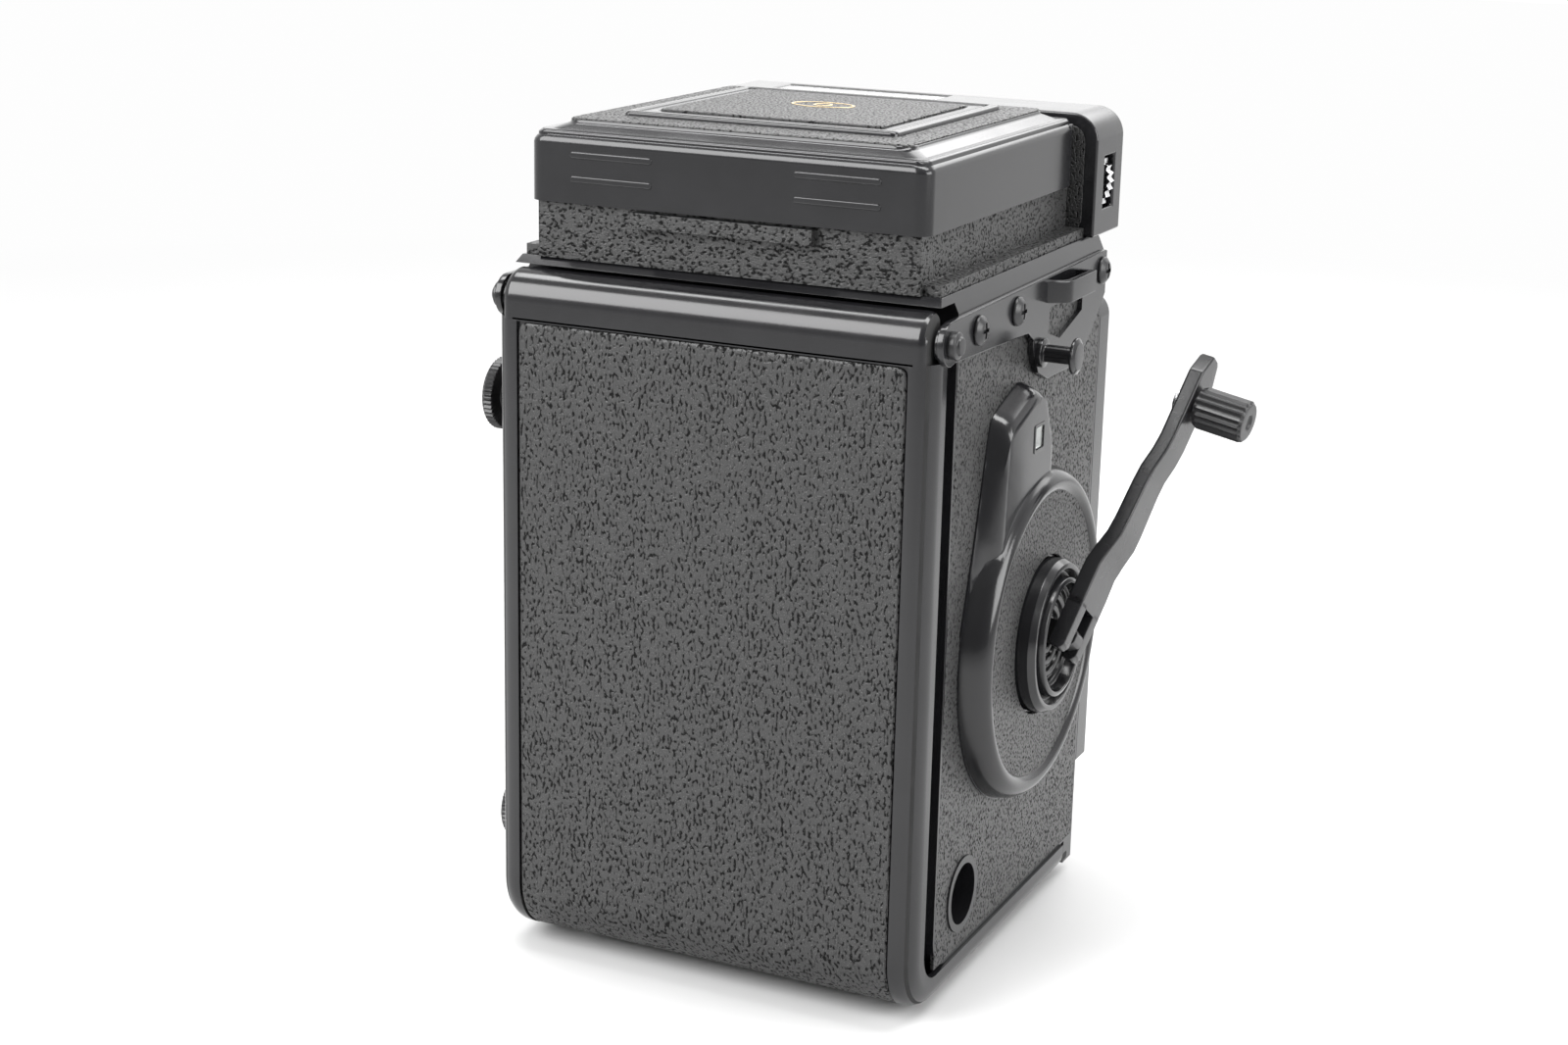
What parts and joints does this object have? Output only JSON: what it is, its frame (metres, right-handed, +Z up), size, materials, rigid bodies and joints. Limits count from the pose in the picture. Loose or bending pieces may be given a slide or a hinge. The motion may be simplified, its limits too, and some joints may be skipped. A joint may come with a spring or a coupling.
{
  "type": "twin lens reflex camera",
  "caption": "Twin lens reflex roll-film camera: box body, folding viewing hood, meter housing, paired lenses, wind crank and a hinged back that includes the floor.",
  "frame": {"origin": "mouth of the tripod socket in the middle of the camera's floor, on the mid-plane", "axes": "+Z up, the lenses face -Y, the wind crank is on -X and the focusing knob on +X"},
  "size_m": [0.1214, 0.101, 0.1449],
  "materials": {
    "black_paint": "semi-gloss black",
    "black_casting": "matt black inside, semi-gloss black outside",
    "leatherette": "fine grained",
    "chrome": "polished",
    "steel": "satin",
    "brass": "machined",
    "black_plastic": "fine matt",
    "glass": "clear",
    "mirror": "front silvered"
  },
  "bodies": {
    "camera": {"body_casting": "black_casting", "side_leather_left": "leatherette", "side_leather_right": "leatherette", "gear_plate": "steel", "crank_cover": "black_casting", "counter_window": "glass", "hood_base": "black_casting", "focusing_screen": "glass", "reflex_mirror": "mirror", "meter_housing": "black_plastic", "meter_window": "glass", "battery": "steel", "battery_cover": "black_paint", "accessory_shoe": "black_casting", "sync_socket": "chrome", "strap_lugs": "black_paint", "lug_screws": "chrome", "strap_studs": "chrome", "hinge_pins": "steel"},
    "door": {"back_door": "black_casting", "door_leather": "leatherette", "pressure_plate_springs": "steel", "tripod_socket": "steel", "feet": "chrome"},
    "film_pressure_plate": {"pressure_plate": "black_paint"},
    "latch": {"latch_dial": "black_paint"},
    "bolt": {"latch_bolt": "steel"},
    "hood_lid": {"hood_cover": "black_casting", "hood_cover_leather": "leatherette"},
    "flap": {"finder_flap": "black_casting"},
    "rear_leaf": {"hood_leaf_rear": "black_casting"},
    "left_wing": {"hood_wing_left": "black_casting"},
    "right_wing": {"hood_wing_right": "black_casting"},
    "magnifier": {"magnifier_frame": "black_casting", "magnifier_lens": "glass"},
    "crank": {"crank_hub": "black_paint"},
    "arm": {"crank_arm": "steel"},
    "knob": {"crank_knob": "black_plastic"},
    "idler": {"wind_gear": "brass"},
    "takeup": {"takeup_drive": "steel", "takeup_spool": "black_plastic"},
    "supply": {"supply_spool": "black_plastic"},
    "lower_roller": {"film_roller_lower": "steel"},
    "upper_roller": {"film_roller_upper": "steel"},
    "counter": {"counter_dial": "black_plastic"},
    "focus": {"focus_knob": "black_casting"},
    "front": {"lens_board": "black_casting", "taking_lens_barrel": "black_casting", "viewing_lens_barrel": "black_casting", "lens_glasses": "glass", "shutter_and_iris": "steel"},
    "aperture": {"aperture_wheel": "black_plastic"},
    "shutter": {"shutter_wheel": "black_plastic"},
    "timer": {"self_timer_lever": "chrome"},
    "button": {"release_button": "chrome"},
    "collar": {"release_collar": "black_paint"},
    "takeup_pull": {"takeup_knob": "black_paint"},
    "supply_pull": {"supply_knob": "black_paint"},
    "film_speed": {"film_speed_dial": "chrome"},
    "needle": {"meter_needle": "steel"}
  },
  "joints": [
    {"name": "door_hinge", "type": "hinge", "parent": "camera", "child": "door", "pos_m": [0, 0.035, 0.113], "axis": [1, 0, 0], "range_deg": [0, 100]},
    {"name": "pressure_plate_slide", "type": "slide", "parent": "door", "child": "film_pressure_plate", "axis": [0, 0, 1], "range_m": [0, 0.006]},
    {"name": "bolt_slide", "type": "slide", "parent": "door", "child": "bolt", "axis": [0, 1, 0], "range_m": [0, 0.0035]},
    {"name": "latch_turn", "type": "hinge", "parent": "door", "child": "latch", "pos_m": [0, 0, -0.0008], "axis": [0, 0, 1], "range_deg": [0, 90.5]},
    {"name": "hood_hinge", "type": "hinge", "parent": "camera", "child": "hood_lid", "pos_m": [0, -0.0295, 0.1393], "axis": [1, 0, 0], "range_deg": [0, 90]},
    {"name": "flap_hinge", "type": "hinge", "parent": "hood_lid", "child": "flap", "pos_m": [0, -0.0195, 0.1422], "axis": [-1, 0, 0], "range_deg": [0, 2.5]},
    {"name": "rear_leaf_hinge", "type": "hinge", "parent": "camera", "child": "rear_leaf", "pos_m": [0, 0.0312, 0.1243], "axis": [-1, 0, 0], "range_deg": [0, 90]},
    {"name": "left_wing_hinge", "type": "hinge", "parent": "hood_lid", "child": "left_wing", "pos_m": [0.031, 0, 0.13965], "axis": [0, -1, 0], "range_deg": [0, 90]},
    {"name": "right_wing_hinge", "type": "hinge", "parent": "hood_lid", "child": "right_wing", "pos_m": [-0.031, 0, 0.13965], "axis": [0, 1, 0], "range_deg": [0, 90]},
    {"name": "magnifier_hinge", "type": "hinge", "parent": "hood_lid", "child": "magnifier", "pos_m": [0, 0.03, 0.1393], "axis": [1, 0, 0], "range_deg": [0, 90]},
    {"name": "crank_turn", "type": "hinge", "parent": "camera", "child": "crank", "pos_m": [-0.042, -0.0056, 0.0556], "axis": [1, 0, 0], "continuous": true},
    {"name": "crank_fold", "type": "hinge", "parent": "crank", "child": "arm", "pos_m": [-0.0476, -0.0056, 0.0556], "axis": [0, -0.848, -0.5299], "range_deg": [0, 145]},
    {"name": "knob_turn", "type": "hinge", "parent": "arm", "child": "knob", "pos_m": [-0.05677, -0.02949, 0.09383], "axis": [-0.9799, 0.1056, -0.1691], "continuous": true},
    {"name": "wind_gear_turn", "type": "hinge", "parent": "camera", "child": "idler", "pos_m": [-0.0355, 0.009, 0.07503], "axis": [1, 0, 0], "continuous": true},
    {"name": "takeup_turn", "type": "hinge", "parent": "camera", "child": "takeup", "pos_m": [0, 0.0225, 0.093], "axis": [1, 0, 0], "continuous": true},
    {"name": "counter_turn", "type": "hinge", "parent": "camera", "child": "counter", "pos_m": [-0.0395, 0.0052, 0.0855], "axis": [1, 0, 0], "continuous": true},
    {"name": "supply_turn", "type": "hinge", "parent": "camera", "child": "supply", "pos_m": [0, 0.0174, 0.0154], "axis": [1, 0, 0], "continuous": true},
    {"name": "lower_roller_turn", "type": "hinge", "parent": "camera", "child": "lower_roller", "pos_m": [0, 0.0296, 0.0242], "axis": [1, 0, 0], "continuous": true},
    {"name": "upper_roller_turn", "type": "hinge", "parent": "camera", "child": "upper_roller", "pos_m": [0, 0.0296, 0.0798], "axis": [1, 0, 0], "continuous": true},
    {"name": "lens_board_slide", "type": "slide", "parent": "camera", "child": "front", "axis": [0, -1, 0], "range_m": [0, 0.007]},
    {"name": "focus_turn", "type": "hinge", "parent": "camera", "child": "focus", "pos_m": [0.045, -0.014, 0.061], "axis": [1, 0, 0], "range_deg": [0, 210.5]},
    {"name": "aperture_turn", "type": "hinge", "parent": "front", "child": "aperture", "pos_m": [0.021, -0.047, 0.073], "axis": [0, 1, 0], "range_deg": [0, 100]},
    {"name": "shutter_speed_turn", "type": "hinge", "parent": "front", "child": "shutter", "pos_m": [-0.021, -0.047, 0.073], "axis": [0, 1, 0], "range_deg": [0, 180]},
    {"name": "self_timer_swing", "type": "hinge", "parent": "front", "child": "timer", "pos_m": [0.021, -0.047, 0.036], "axis": [0, 1, 0], "range_deg": [0, 80]},
    {"name": "release_press", "type": "slide", "parent": "camera", "child": "button", "axis": [0, 1, 0], "range_m": [0, 0.003], "stiffness_N_per_m": 400, "springref_m": -0.001},
    {"name": "release_lock_turn", "type": "hinge", "parent": "camera", "child": "collar", "pos_m": [-0.028, -0.043, 0.0132], "axis": [0, 1, 0], "range_deg": [0, 60]},
    {"name": "takeup_knob_pull", "type": "slide", "parent": "camera", "child": "takeup_pull", "axis": [1, 0, 0], "range_m": [0, 0.005], "stiffness_N_per_m": 300, "springref_m": -0.001},
    {"name": "supply_knob_pull", "type": "slide", "parent": "camera", "child": "supply_pull", "axis": [1, 0, 0], "range_m": [0, 0.005], "stiffness_N_per_m": 300, "springref_m": -0.001},
    {"name": "film_speed_turn", "type": "hinge", "parent": "camera", "child": "film_speed", "pos_m": [-0.0323, -0.0408, 0.129], "axis": [0, 1, 0], "range_deg": [-60, 60]},
    {"name": "needle_swing", "type": "hinge", "parent": "camera", "child": "needle", "pos_m": [0.01, -0.0376, 0.1371], "axis": [0, 0, 1], "range_deg": [-25, 25]}
  ],
  "couplings": [
    {"joint": "latch_turn", "follows": "bolt_slide", "rad_per_m": 448.8},
    {"joint": "rear_leaf_hinge", "follows": "hood_hinge", "ratio": 1},
    {"joint": "left_wing_hinge", "follows": "hood_hinge", "ratio": 1},
    {"joint": "right_wing_hinge", "follows": "hood_hinge", "ratio": 1},
    {"joint": "magnifier_hinge", "follows": "hood_hinge", "ratio": 1},
    {"joint": "wind_gear_turn", "follows": "crank_turn", "ratio": -0.4908},
    {"joint": "takeup_turn", "follows": "crank_turn", "ratio": 1.2903},
    {"joint": "counter_turn", "follows": "crank_turn", "ratio": 0.08333},
    {"joint": "focus_turn", "follows": "lens_board_slide", "rad_per_m": 523.6}
  ]
}
